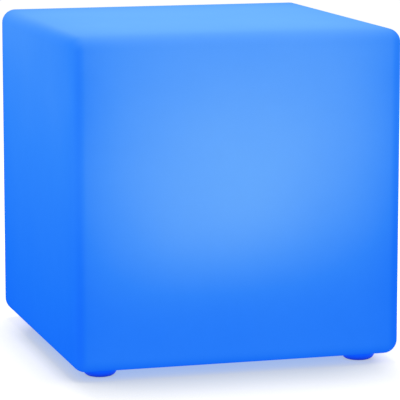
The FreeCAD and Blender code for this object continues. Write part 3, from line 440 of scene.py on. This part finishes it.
def lit_packages():
    """White LED packages, each with a round lit phosphor window."""
    finish = Finish(bpy.data.materials.new("lit_packages"))
    x, y, z = finish.along(finish.place)
    rings = ((0.020, 6), (0.040, 12))
    window_radius, window_edge, package_face = 0.0017, 0.0019, 0.0571
    off_middle = (x * x + y * y) ** 0.5
    angle = finish.worked("ARCTAN2", y, x)
    window = 0.0
    for ring_radius, count in rings:
        turn = 2 * math.pi / count
        swing = angle - finish.worked("ROUND", angle / turn) * turn
        ahead = off_middle * finish.worked("COSINE", swing) - ring_radius
        beside = off_middle * finish.worked("SINE", swing)
        off_package = (ahead * ahead + beside * beside) ** 0.5
        window = (1.0 - off_package.step(window_radius, window_edge)) + window
    window = window * z.above(package_face)
    return finish.surface({
        "Base Color": finish.blend(window, (0.88, 0.88, 0.86), (0.86, 0.72, 0.20)),
        "Roughness": 0.35 - 0.15 * window, "Normal": finish.relief(window, 0.0001),
        "Emission Color": finish.blend(window, (0.01, 0.05, 0.25), (0.25, 0.55, 1.0)),
        "Emission Strength": 1.0})


def foam_pad():
    """Closed-cell foam: crowded small bubbles."""
    finish = Finish(bpy.data.materials.new("foam_pad"))
    bubbles = finish.cells(1300.0)
    base = finish.blend(bubbles.step(0.2, 0.7), (0.045, 0.045, 0.050), (0.11, 0.11, 0.12))
    return finish.surface({
        "Base Color": base, "Roughness": 0.92 - 0.1 * bubbles, "Normal": finish.relief(bubbles, 0.00025)})


def shrunk_sleeve():
    """Shrunk film over the cells: glossy, with small creases round the ends."""
    finish = Finish(bpy.data.materials.new("shrunk_sleeve"))
    x, _, _ = finish.along(finish.place)
    ends = abs(x).step(0.024, 0.0335)
    creases = finish.noise(1.0, 3.0, 0.6, finish.stretched((40.0, 700.0, 700.0)))
    base = finish.blend(finish.noise(80.0), (0.020, 0.16, 0.42), (0.030, 0.20, 0.50))
    return finish.surface({
        "Base Color": base, "Roughness": 0.22 + 0.1 * creases,
        "Normal": finish.relief(creases * ends, 0.0003)})


def insulation(name, colour):
    """Wire insulation, drawn lengthways, with scuffs."""
    finish = Finish(bpy.data.materials.new(name))
    scuffs = finish.noise(900.0, 3.0).step(0.55, 0.75)
    paler = [0.8 * channel + 0.12 for channel in colour]
    return finish.surface({
        "Base Color": finish.blend(scuffs * 0.35, colour, paler), "Roughness": 0.38 + 0.2 * scuffs,
        "Normal": finish.relief(finish.noise(2200.0), 0.00002)})


finishes = {
    "shell_plastic": glowing_shell(),
    "foot_rubber": glowing_foot(),
    "tray_plastic": moulded("tray_plastic_white", (0.72, 0.74, 0.77), spread=0.015, rough=0.48,
                            dust=0.2, scuffs=0.25),
    "gasket_rubber": moulded("gasket_rubber_black", (0.028, 0.028, 0.030), rough=0.72, grain=900.0,
                             depth=0.00006),
    "button_plastic": moulded("button_soft_grey", (0.26, 0.28, 0.31), rough=0.60, grain=1100.0, dust=0.3),
    "flap_rubber": moulded("flap_rubber_grey", (0.075, 0.080, 0.088), rough=0.66, grain=1000.0,
                           depth=0.00006, dust=0.4),
    "dome_plastic": frosted_dome(),
    "clear_plastic": clear_rod(),
    "steel": metal("zinc_plated_steel", (0.50, 0.52, 0.55)),
    "brass": metal("turned_brass", (0.60, 0.42, 0.15), rough=0.26),
    "board_metal": circuit("white_board", (0.78, 0.80, 0.80), (0.70, 0.72, 0.72), (0.62, 0.62, 0.60)),
    "board_green": circuit("green_board", (0.010, 0.085, 0.035), (0.018, 0.130, 0.055), (0.55, 0.50, 0.40)),
    "led_white": lit_packages(),
    "black_plastic": moulded("black_plastic_fine", (0.014, 0.014, 0.016), spread=0.2, rough=0.42),
    "white_plastic": moulded("nylon_white", (0.70, 0.69, 0.62), rough=0.40),
    "cell_metal": metal("nickel_can", (0.46, 0.48, 0.50), rough=0.24, grain=(60.0, 2500.0, 2500.0)),
    "sleeve_plastic": shrunk_sleeve(),
    "foam": foam_pad(),
    "wire_red": insulation("red_insulation", (0.50, 0.012, 0.010)),
    "wire_black": insulation("black_insulation", (0.012, 0.012, 0.012)),
    "wire_white": insulation("white_insulation", (0.72, 0.72, 0.70)),
}
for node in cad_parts.values():
    for slot in node.material_slots:
        slot.material = finishes[slot.material.name]


# Screws, feet and the small mouldings of the underside


class Rule(Nodes):
    """A tree of Geometry Nodes with named inputs, which ends in one finished mesh."""

    def __init__(self, name, numbers, counts=()):
        super().__init__(bpy.data.node_groups.new(name, "GeometryNodeTree"))
        for kind, titles in (("Float", numbers), ("Int", counts), ("Material", ("Finish",))):
            for title in titles:
                self.tree.interface.new_socket(title, in_out="INPUT", socket_type=f"NodeSocket{kind}")
        self.tree.interface.new_socket("Mesh", in_out="OUTPUT", socket_type="NodeSocketGeometry")
        self.given = self.node("NodeGroupInput").socket.node

    def asked(self, title):
        """The answer that is given to one of the rule's inputs."""
        return Wire(self, self.given.outputs[title])

    def joined(self, parts):
        """Put several pieces together in one."""
        join = self.node("GeometryNodeJoinGeometry")
        for part in parts:
            self.tree.links.new(part.socket, join.socket.node.inputs[0])
        return join

    def end(self, mesh):
        """Make the copies real, give them their finish and hand the mesh out."""
        real = self.node("GeometryNodeRealizeInstances", None, {0: mesh})
        finished = self.node("GeometryNodeSetMaterial", None, {0: real, "Material": self.asked("Finish")})
        self.node("NodeGroupOutput", None, {"Mesh": finished})

    def mesh(self, name, answers):
        """Run the rule with these answers to its inputs, and keep the result as a plain mesh."""
        draft = bpy.data.objects.new(name, bpy.data.meshes.new(name))
        bpy.context.scene.collection.objects.link(draft)
        modifier = draft.modifiers.new("rule", "NODES")
        modifier.node_group = self.tree
        for item in self.tree.interface.items_tree:
            if item.in_out == "INPUT":
                modifier[item.identifier] = answers[item.name]
        ready = draft.evaluated_get(bpy.context.evaluated_depsgraph_get())
        result = bpy.data.meshes.new_from_object(ready)
        draft.modifiers.remove(modifier)
        draft.data = result
        result.name = name
        # Slots that hold no material are left out
        for index in reversed(range(len(result.materials))):
            if not result.materials[index]:
                result.materials.pop(index=index)
        return draft


def in_rows(row, values):
    """Pick the value that belongs to each row of a grid."""
    picked = values[0]
    for number, (before, after) in enumerate(zip(values, values[1:])):
        picked = (after - before) * row.above(number + 0.5) + picked
    return picked


def quarter_circle(steps):
    """The points of a quarter circle from its foot: how far out and how far up, from 0 to 1."""
    turns = [math.radians(90 * step / steps) for step in range(steps + 1)]
    return [(math.sin(turn), 1.0 - math.cos(turn)) for turn in turns]


def spun(rule, rows, around, shape):
    """Spin a profile: shape gives the radius and height of a row of the grid at an angle."""
    size = {"Size X": 2 * math.pi, "Size Y": float(rows - 1), "Vertices X": around + 1, "Vertices Y": rows}
    grid = rule.node("GeometryNodeMeshGrid", None, size, "Mesh")
    angle, row, _ = rule.along(rule.node("GeometryNodeInputPosition"))
    radius, height = shape(row + (rows - 1) / 2, angle)
    place = rule.vector(
        X=radius * rule.worked("COSINE", angle), Y=radius * rule.worked("SINE", angle), Z=height)
    return rule.node("GeometryNodeSetPosition", None, {"Geometry": grid, "Position": place})


def welded(rule, parts):
    """Join surfaces whose edges meet, and leave only real corners sharp."""
    same_place, sharp_from = 0.000002, math.radians(35)
    closed = rule.node("GeometryNodeMergeByDistance", None,
                       {"Geometry": rule.joined(parts), "Distance": same_place})
    bend = rule.node("GeometryNodeInputMeshEdgeAngle", output="Unsigned Angle")
    return rule.node("GeometryNodeSetShadeSmooth", {"domain": "EDGE"}, {
        "Geometry": closed, "Selection": bend.above(sharp_from), "Shade Smooth": False})


def copied(rule, piece, count, height, twist):
    """Set copies of a piece evenly on a ring round the middle."""
    circle = rule.node("GeometryNodeMeshCircle", None, {
        "Vertices": count, "Radius": rule.asked("Ring Radius")})
    ring = rule.node("GeometryNodeTransform", None, {
        "Geometry": circle, "Translation": rule.vector(Z=height),
        "Rotation": rule.vector(Z=rule.asked("First Angle"))})
    return rule.node("GeometryNodeInstanceOnPoints", None, {
        "Points": ring, "Instance": piece, "Rotation": rule.vector(Z=twist)})


def placed(rule, piece):
    """Move a piece that was made round the middle to where it is asked for."""
    shift = rule.vector(X=rule.asked("Along"), Y=rule.asked("Across"), Z=rule.asked("Face"))
    return rule.node("GeometryNodeTransform", None, {"Geometry": piece, "Translation": shift})


def socket_screws():
    """Button-head socket screws, spaced evenly on a ring, with their heads down."""
    rule = Rule("socket_screws",
                ("Ring Radius", "First Angle", "Head Face", "Head Radius", "Head Height", "Socket Radius",
                 "Socket Depth", "Shank Radius", "Length", "Thread Pitch", "Thread Depth"), ("Screws",))
    head_radius, head_height = rule.asked("Head Radius"), rule.asked("Head Height")
    shank, length = rule.asked("Shank Radius"), rule.asked("Length")
    around, thread_rows, dome_steps = 36, 96, 6
    plain_neck, tip, neck_fillet, socket_lip, drill_point = 0.0006, 0.0008, 0.00025, 0.00012, 0.0003
    # Shares of the head's radius and height, and what an eased corner and the shank's tip leave
    flat_share, dome_share, side_share, corner_share, tip_share = 0.64, 0.60, 0.94, 0.97, 0.72
    sector = math.pi / 3

    def head(row, angle):
        """From the middle of the hexagon socket, over the dome and round to the neck."""
        off_corner = abs(angle - rule.worked("ROUND", angle / sector) * sector)
        across_flats = rule.asked("Socket Radius") * math.cos(sector / 2)
        hexagon = across_flats / rule.worked("COSINE", sector / 2 - off_corner)
        depth = rule.asked("Socket Depth")
        radii = [0.0, hexagon * corner_share, hexagon, hexagon + socket_lip]
        heights = [depth + drill_point, depth, socket_lip, 0.0]
        for out, up in quarter_circle(dome_steps):
            radii.append(head_radius * (flat_share + (1.0 - flat_share) * out))
            heights.append(head_height * (dome_share * up))
        radii += [head_radius, head_radius * corner_share, shank + neck_fillet, shank, shank]
        heights += [head_height * side_share, head_height, head_height, head_height + neck_fillet,
                    head_height + plain_neck]
        return in_rows(row, radii), in_rows(row, heights)

    def thread(row, angle):
        """A helical groove along the shank, which fades out at both ends."""
        last, fades_over = thread_rows - 1.0, 3.0
        height = (head_height + plain_neck) + row / last * (length - head_height - (plain_neck + tip))
        turns = height / rule.asked("Thread Pitch") - angle / (2 * math.pi)
        groove = abs(rule.worked("FRACT", turns) - 0.5) * 2.0
        ends = row.step(0.0, fades_over) * (1.0 - row.step(last - fades_over, last))
        return shank - groove * ends * rule.asked("Thread Depth"), height

    def point(row, _):
        """The chamfered end of the shank."""
        return in_rows(row, [shank, shank * tip_share, 0.0]), in_rows(row, [length - tip, length, length])

    head_rows = 4 + (dome_steps + 1) + 5
    screw = welded(rule, (spun(rule, head_rows, around, head), spun(rule, thread_rows, around, thread),
                          spun(rule, 3, around, point)))
    twist = rule.node("FunctionNodeRandomValue", {"data_type": "FLOAT"},
                      {"Min": 0.0, "Max": sector, "Seed": 4}, 1)
    rule.end(copied(rule, screw, rule.asked("Screws"), rule.asked("Head Face"), twist))
    return rule


def grooved_foot():
    """A round foot with its screw in a recess, a rounded rim and grooves in its tread."""
    rule = Rule("grooved_foot",
                ("Along", "Across", "Face", "Foot Radius", "Foot Height", "Rounding", "Recess Radius",
                 "Recess Depth", "Hole Radius", "Groove Depth"))
    radius, height, rounding = rule.asked("Foot Radius"), rule.asked("Foot Height"), rule.asked("Rounding")
    recess, hole, depth = rule.asked("Recess Radius"), rule.asked("Hole Radius"), rule.asked("Groove Depth")
    chamfer = 0.0003
    # Shares of a groove's pitch: the flat tread before it, and each of its sloped sides
    tread_share, slope = 0.5, 0.12
    grooves, rim_steps, around = 3, 12, 72

    def profile(row, _):
        """From the hole for the screw, down the recess, along the tread and up the rim."""
        tread_start, tread_end = recess + chamfer, radius - rounding
        pitch = (tread_end - tread_start) / (grooves + tread_share)
        recess_floor = rule.asked("Recess Depth")
        radii = [hole, hole, recess, recess, tread_start]
        heights = [height, recess_floor, recess_floor, chamfer, 0.0]
        sides = ((tread_share, 0.0), (tread_share + slope, 1.0), (1.0 - slope, 1.0), (1.0, 0.0))
        for groove in range(grooves):
            for share, sunk in sides:
                radii.append(tread_start + pitch * (groove + share))
                heights.append(depth * sunk)
        for out, up in quarter_circle(rim_steps):
            radii.append(tread_end + rounding * out)
            heights.append(rounding * up)
        radii += [radius, hole]
        heights += [height, height]
        return in_rows(row, radii), in_rows(row, heights)

    rows = 5 + 4 * grooves + (rim_steps + 1) + 2
    rule.end(placed(rule, welded(rule, (spun(rule, rows, around, profile),))))
    return rule


def band(rule, middle, width, proud):
    """A rounded ring that stands out downwards from a face."""
    around = 120
    across_and_down = ((-0.5, 0.0), (-0.42, 0.72), (-0.26, 1.0), (0.26, 1.0), (0.42, 0.72), (0.5, 0.0),
                       (-0.5, 0.0))

    def profile(row, _):
        """Down one side, along the rounded face, up the other side and back along the top."""
        return (in_rows(row, [middle + width * across for across, _ in across_and_down]),
                in_rows(row, [proud * -down for _, down in across_and_down]))

    return spun(rule, len(across_and_down), around, profile)


def tray_ribs():
    """Ribs moulded on the underside of the tray: two rings, and spokes between them."""
    rule = Rule("tray_ribs", ("Along", "Across", "Face", "Inner Radius", "Outer Radius", "Rib Width",
                              "Proud", "First Angle"), ("Spokes",))
    inner, outer = rule.asked("Inner Radius"), rule.asked("Outer Radius")
    width, proud = rule.asked("Rib Width"), rule.asked("Proud")
    size = rule.vector(X=outer - inner, Y=width, Z=proud * 2.0)
    block = rule.node("GeometryNodeMeshCube", None,
                      {"Size": size, "Vertices X": 10, "Vertices Y": 3, "Vertices Z": 3}, "Mesh")
    soft = rule.node("GeometryNodeSubdivisionSurface", None, {"Mesh": block, "Level": 1})
    spoke = rule.node("GeometryNodeTransform", None, {
        "Geometry": soft, "Translation": rule.vector(X=(inner + outer) * 0.5)})
    middle = rule.node("GeometryNodeMeshLine", {"mode": "OFFSET"}, {
        "Count": rule.asked("Spokes"), "Offset": (0.0, 0.0, 0.0)})
    number = rule.node("GeometryNodeInputIndex")
    turn = rule.vector(Z=number * 2.0 * math.pi / rule.asked("Spokes") + rule.asked("First Angle"))
    spokes = rule.node("GeometryNodeInstanceOnPoints", None, {
        "Points": middle, "Instance": spoke, "Rotation": turn})
    rings = welded(rule, (band(rule, inner, width, proud), band(rule, outer, width, proud)))
    rule.end(placed(rule, rule.joined((rings, spokes))))
    return rule


def press_ring():
    """A raised ring that the finger finds on the button."""
    rule = Rule("press_ring", ("Along", "Across", "Face", "Middle", "Width", "Proud"))
    ring = band(rule, rule.asked("Middle"), rule.asked("Width"), rule.asked("Proud"))
    rule.end(placed(rule, welded(rule, (ring,))))
    return rule


def settle(piece, body, slot, *nodes):
    """Turn the piece's faces outwards, hang it on its body and hide the nodes it stands for. The slot is not
    used.
    """
    shape = bmesh.new()
    shape.from_mesh(piece.data)
    bmesh.ops.recalc_face_normals(shape, faces=shape.faces)
    shape.to_mesh(piece.data)
    shape.free()
    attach(piece, body)
    if nodes:
        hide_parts(*nodes)


def make_screws():
    """Put real heads and threads on the screws that show in the underside."""
    rule = socket_screws()
    shared = {"Head Radius": 0.0038, "Head Height": 0.0026, "Socket Radius": 0.0021, "Socket Depth": 0.0014,
              "Shank Radius": 0.0020, "Thread Pitch": 0.0007, "Thread Depth": 0.00035,
              "Finish": finishes["steel"]}
    flange = rule.mesh("flange_screws_threaded", {
        **shared, "Ring Radius": 0.088, "First Angle": 0.0, "Head Face": 0.0224, "Length": 0.0166,
        "Screws": 6})
    settle(flange, "cube", "steel", "flange_screws")
    feet = rule.mesh("foot_screws_threaded", {
        **shared, "Ring Radius": math.hypot(FOOT_PLACE, FOOT_PLACE), "First Angle": math.pi / 4,
        "Head Face": 0.0014, "Length": 0.0146, "Screws": 4})
    settle(feet, "cube", "steel", "foot_screws")


def make_feet():
    """Put a grooved foot in each corner in place of the plain one."""
    rule = grooved_foot()
    shared = {"Face": 0.0, "Foot Radius": 0.020, "Foot Height": 0.010, "Rounding": 0.0084,
              "Recess Radius": 0.0055, "Recess Depth": 0.0048, "Hole Radius": 0.00225, "Groove Depth": 0.0006,
              "Finish": finishes["foot_rubber"]}
    for side, along, across in (("front_left", -1, -1), ("front_right", 1, -1),
                                ("back_left", -1, 1), ("back_right", 1, 1)):
        foot = rule.mesh(f"foot_{side}_grooved", {
            **shared, "Along": along * FOOT_PLACE, "Across": across * FOOT_PLACE})
        settle(foot, "cube", "foot_rubber", f"foot_{side}")


def make_underside_details():
    """Add the ribs under the tray, and the ring on the face of the power button."""
    ribs = tray_ribs().mesh("tray_ribs", {
        "Inner Radius": 0.052, "Outer Radius": 0.079, "Rib Width": 0.0018, "Proud": 0.0012,
        "Face": TRAY_FACE, "Along": 0.0, "Across": 0.0, "First Angle": math.pi / 24, "Spokes": 24,
        "Finish": finishes["tray_plastic"]})
    settle(ribs, "cube", "tray_plastic")
    ring = press_ring().mesh("button_press_ring", {
        "Middle": 0.0036, "Width": 0.0010, "Proud": 0.00035, "Face": BUTTON_FACE,
        "Along": BUTTON_ALONG, "Across": BUTTON_ACROSS, "Finish": finishes["button_plastic"]})
    settle(ring, "power_button", "button_plastic")


make_screws()
make_feet()
make_underside_details()


# Floor, light and camera


def pale_floor():
    """Matt floor that is lifted to white, except where a shade gathers near what stands on it.

    The shade is painted lighter and narrower on the left, and painted out at the right end and at the back
    left, by place on the floor.
    """
    finish = Finish(bpy.data.materials.new("pale_floor"))
    grey, lift_strength = 0.35, 0.80
    shade_reach, left_reach_less = 0.13, 0.08
    x, y, _ = finish.along(finish.place)
    to_left = 0.0 - x
    painted_lit_left = to_left.step(HALF_SIDE - 0.01, HALF_SIDE + 0.02)
    back_left = y.step(0.04, 0.18) * to_left.step(0.12, 0.19)
    reach = {"Distance": shade_reach - left_reach_less * painted_lit_left}
    open_sky = finish.node("ShaderNodeAmbientOcclusion", {"samples": 24}, reach, "AO")
    # Painted light by place: how much of the shade is taken away, and where
    fades = ((0.44, painted_lit_left), (0.50, x.step(0.08, 0.28)), (0.80, x.step(0.155, 0.200)), (0.90, back_left))
    for amount, where in fades:
        open_sky = open_sky + amount * where * (1.0 - open_sky)
    stops = [(0.0, (0.42, 0.54, 0.64)), (0.5, (0.53, 0.575, 0.59)), (1.0, (1.0, 1.0, 1.0))]
    shade = finish.colours(open_sky, stops)
    matt = finish.node("ShaderNodeBsdfDiffuse", None, {"Color": (grey, grey, grey)})
    lift = finish.node("ShaderNodeEmission", None, {"Color": shade, "Strength": lift_strength})
    solid = finish.node("ShaderNodeAddShader", None, {0: matt, 1: lift})
    clear = finish.node("ShaderNodeBsdfTransparent")
    above = 1.0 - finish.node("ShaderNodeNewGeometry", output="Backfacing")
    shown = finish.node("ShaderNodeMixShader", None, {0: finish.seen_directly() * above, 1: clear, 2: solid})
    finish.node("ShaderNodeOutputMaterial", None, {"Surface": shown})
    return finish.owner


def make_floor():
    """A wide floor for the eye, reflections and glass, which shows only from above.

    Light from the world passes it, so that the underside is lit as plainly as the sides, and a view
    from underneath shows it.
    """
    reach = 30.0
    corners = [(-reach, -reach, 0), (reach, -reach, 0), (reach, reach, 0), (-reach, reach, 0)]
    mesh = bpy.data.meshes.new("floor")
    mesh.from_pydata(corners, [], [(0, 1, 2, 3)])
    mesh.materials.append(pale_floor())
    floor = bpy.data.objects.new("floor", mesh)
    bpy.context.scene.collection.objects.link(floor)


def make_world():
    """Plain soft light from all round, which the eye and reflections see as white."""
    finish = Finish(bpy.data.worlds.new("studio"))
    bpy.context.scene.world = finish.owner
    on_things, extra_when_seen = 0.60, 0.40
    strength = on_things + extra_when_seen * finish.seen_directly()
    light = finish.node("ShaderNodeBackground", None, {"Color": (1.0, 1.0, 1.0), "Strength": strength})
    finish.node("ShaderNodeOutputWorld", None, {"Surface": light})


def make_lamp(name, place, aim, size, watts):
    """A round soft lamp."""
    lamp = bpy.data.lights.new(name, "AREA")
    lamp.shape = "DISK"
    lamp.size = size
    lamp.energy = watts
    holder = bpy.data.objects.new(name, lamp)
    holder.location = place
    holder.rotation_euler = (Vector(aim) - Vector(place)).to_track_quat("-Z", "Y").to_euler()
    bpy.context.scene.collection.objects.link(holder)


def make_camera():
    """The photograph's view: a long lens, a little above the cube and to its left."""
    turn, tilt = 0.2813, 0.1622
    camera = bpy.data.cameras.new("camera")
    camera.sensor_width = 36.0
    camera.lens = 231.2
    holder = bpy.data.objects.new("camera", camera)
    holder.location = (-0.86256, -3.01380, 0.68796)
    holder.rotation_euler = (math.pi / 2 - tilt, 0.0, -turn)
    bpy.context.scene.collection.objects.link(holder)
    bpy.context.scene.camera = holder


make_floor()
make_world()
make_lamp("key", place=(0.25, 0.75, 2.4), aim=(0.0, 0.0, 0.0), size=1.5, watts=40.0)
make_lamp("fill", place=(-1.4, -3.6, 1.1), aim=(0.0, 0.0, 0.2), size=2.0, watts=38.0)
make_camera()
bpy.context.scene.view_settings.view_transform = "Standard"
